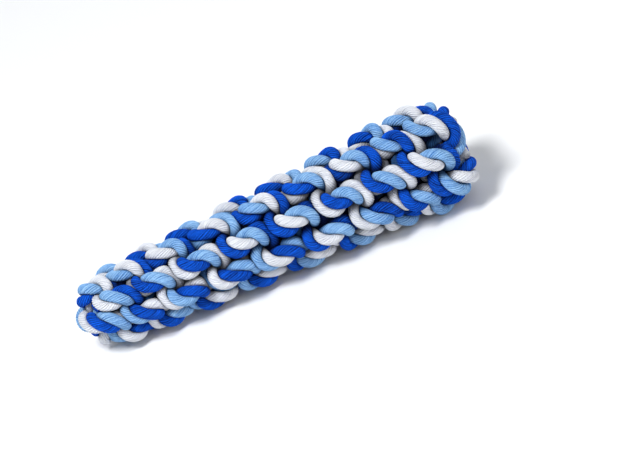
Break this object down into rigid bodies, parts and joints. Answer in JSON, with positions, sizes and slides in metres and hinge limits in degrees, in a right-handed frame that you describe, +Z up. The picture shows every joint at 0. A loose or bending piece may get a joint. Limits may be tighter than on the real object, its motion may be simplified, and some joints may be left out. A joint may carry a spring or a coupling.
{
  "type": "rope dog toy",
  "caption": "Stout knotted cotton rope stick for a dog to chew, fetch and tug, worked as a round crown sinnet in white, royal blue and sky blue yarn.",
  "frame": {"origin": "middle of the toy's box, on the plane that the toy lies on", "axes": "+X along the toy from the thin end, where the knot starts, to the thick end, where the tails come out; +Z up"},
  "size_m": [0.2152, 0.055, 0.055],
  "materials": {
    "white_cotton": "matte twisted cotton, undyed white",
    "royal_cotton": "matte twisted cotton, dyed royal blue",
    "sky_cotton": "matte twisted cotton, dyed sky blue"
  },
  "bodies": {
    "root": {"rope_1_white_yarn": "white_cotton", "rope_1_royal_yarn": "royal_cotton", "rope_1_sky_yarn": "sky_cotton", "rope_2_white_yarn": "white_cotton", "rope_2_royal_yarn": "royal_cotton", "rope_2_sky_yarn": "sky_cotton"}
  },
  "joints": []
}
